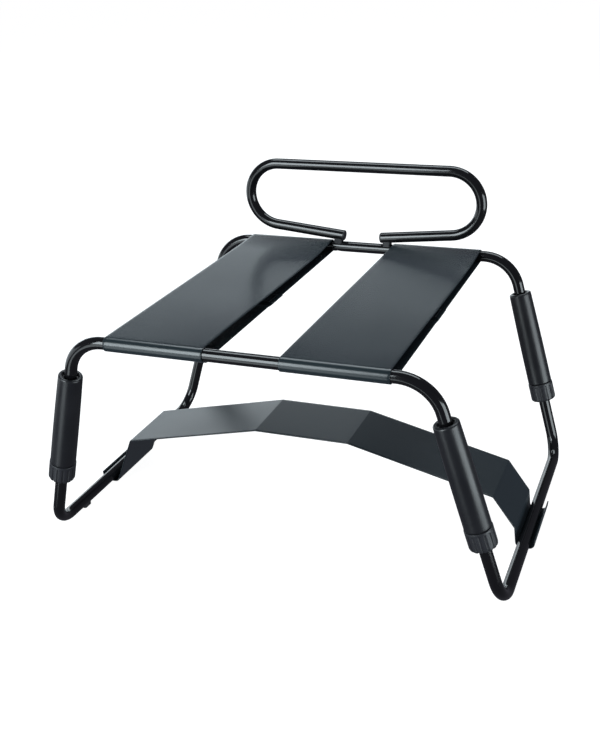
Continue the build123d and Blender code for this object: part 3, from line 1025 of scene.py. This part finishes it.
def seat_strap_lift(share, point):
    """Sag of the upper run, lowest near the rear bar; share runs from the left edge to the right one."""
    if point.y < bar_height:
        return 0.0
    behind = min(max((bar_y - point.x) / (2 * bar_y), 0.0), 1.0)
    depth = STRAP_DIP[0] + (STRAP_DIP[1] - STRAP_DIP[0]) * share
    lowest = STRAP_DIP_PLACE[0] + (STRAP_DIP_PLACE[1] - STRAP_DIP_PLACE[0]) * share
    if behind < lowest:
        return depth * math.sin(math.pi / 2 * behind / lowest)
    return depth * math.cos(math.pi / 2 * (behind - lowest) / (1 - lowest)) ** 2


def stitch_lines(low, high, height):
    """Edges of a boxed cross of stitches on the seam, drawn in (x, y) at one height."""
    inset, half = 0.006, STRAP_SEAM / 2 - 0.005
    left, right = low + inset, high - inset
    middle = (left + right) / 2
    points, edges = [], []

    def run(*corners):
        base = len(points)
        points.extend((x, y, height) for x, y in corners)
        edges.extend((base + place, base + place + 1) for place in range(len(corners) - 1))

    run((left, -half), (right, -half), (right, half), (left, half), (left, -half))
    run((left, -half), (middle, half), (right, -half))
    run((left, half), (middle, -half), (right, half))
    mesh = bpy.data.meshes.new("stitch_lines")
    mesh.from_pydata(points, edges, [])
    return mesh


def build_seat_straps(cloth, thread):
    path = seat_strap_path()
    stitches = stitch_tree()
    for side_name in SIDES:
        node = "seat_strap_" + side_name
        low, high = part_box(node)
        width, middle = high.x - low.x, (low.x + high.x) / 2
        mesh = band(
            "seat_webbing", path, lambda across, y, z: (middle + across, y, z), width, STRAP_THICKNESS, 44,
            seat_strap_lift,
        )
        name = node.replace("strap", "webbing")
        piece = new_piece(name, turned_outwards(mesh), node, cloth)
        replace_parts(piece, node)
        reach = TUBE_RADIUS + STRAP_CLEARANCE
        for label, height in (
            ("under", bar_height - reach - 2 * STRAP_THICKNESS - STRAP_LAP_GAP),
            ("inside", bar_height - reach),
        ):
            seam = grow(
                "seam_stitches", stitch_lines(low.x, high.x, height), stitches, Pitch=0.0034,
                Stitch_Length=0.0028, Thread_Radius=0.00028, Finish=thread,
            )
            seam.shade_smooth()
            new_piece("seam_stitches_" + label + "_" + side_name, seam, node)


def tie_strap_path():
    """Path of the folded tie strap in (x, z), from its left free end to its right free end."""
    under = rail_height - TUBE_RADIUS - STRAP_CLEARANCE - TIE_THICKNESS / 2

    def wrap(side):
        outer = rail_x + TIE_WRAP_OUTER
        return [
            (side * (outer + TIE_FLAP_LEAN), TIE_FLAP_HEIGHT),
            (side * outer, under),
            (side * (rail_x - TIE_WRAP_INNER), under),
        ]

    corners = [
        *wrap(-1),
        (TIE_SHOULDER_LEFT[0] - rail_x, TIE_SHOULDER_LEFT[1]),
        (-TIE_CROWN_HALF_WIDTH, TIE_CROWN_HEIGHT),
        (TIE_CROWN_HALF_WIDTH, TIE_CROWN_HEIGHT),
        (rail_x - TIE_SHOULDER_RIGHT[0], TIE_SHOULDER_RIGHT[1]),
        (rail_x - TIE_KNEE_RIGHT[0], TIE_KNEE_RIGHT[1]),
        *reversed(wrap(1)),
    ]
    radii = [TIE_WRAP_RADIUS] * 2 + [TIE_CREASE_RADIUS] * 5 + [TIE_WRAP_RADIUS] * 2
    return rounded_path(corners, radii, 0.006)


def build_tie_strap(cloth):
    low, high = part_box("tie_strap")
    width, middle = high.y - low.y, (low.y + high.y) / 2
    path = tie_strap_path()
    mesh = band("tie", path, lambda across, x, z: (x, middle - across, z), width, TIE_THICKNESS, 30)
    piece = new_piece("tie_webbing", turned_outwards(mesh), "tie_strap", cloth)
    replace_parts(piece, "tie_strap")


# ---------------------------------------------------------------- build everything
set_camera()
build_studio()

gloss = gloss_powder_coat()
foam = foam_skin()
plastic = moulded("black_nylon", (0.012, 0.012, 0.014), (0.024, 0.024, 0.027), 0.42)
collar_plastic = moulded("satin_collar_plastic", (0.014, 0.0145, 0.018), (0.026, 0.027, 0.032), 0.40, 0.00008)
collet_plastic = moulded("acetal_collet", (0.035, 0.035, 0.038), (0.055, 0.055, 0.060), 0.35)
rubber = moulded("foot_rubber", (0.010, 0.010, 0.011), (0.022, 0.022, 0.024), 0.62, 0.00010, 600)
steel = black_oxide()
thread = sewing_thread()
seat_cloth = webbing("seat_elastic_webbing", (0.005, 0.0095, 0.012), (0.020, 0.031, 0.036), 0.245)
tie_cloth = webbing(
    "tie_nylon_webbing", (0.004, 0.0080, 0.0105), (0.013, 0.021, 0.0265), 0.36, warp=0.0009, weft=0.0007,
    edge_from=0.051,
)

build_tubes(gloss)
build_grips(foam, collar_plastic, plastic, collet_plastic)
build_seat_straps(seat_cloth, thread)
build_tie_strap(tie_cloth)
for side_name in SIDES:
    repaint("handle_plug_" + side_name, plastic)
    repaint("handle_saddle_" + side_name, plastic)
    for end_name in ENDS:
        repaint("foot_pad_" + end_name + "_" + side_name, rubber)
repaint("handle_bolts", steel)
repaint("handle_rivet_nuts", steel)
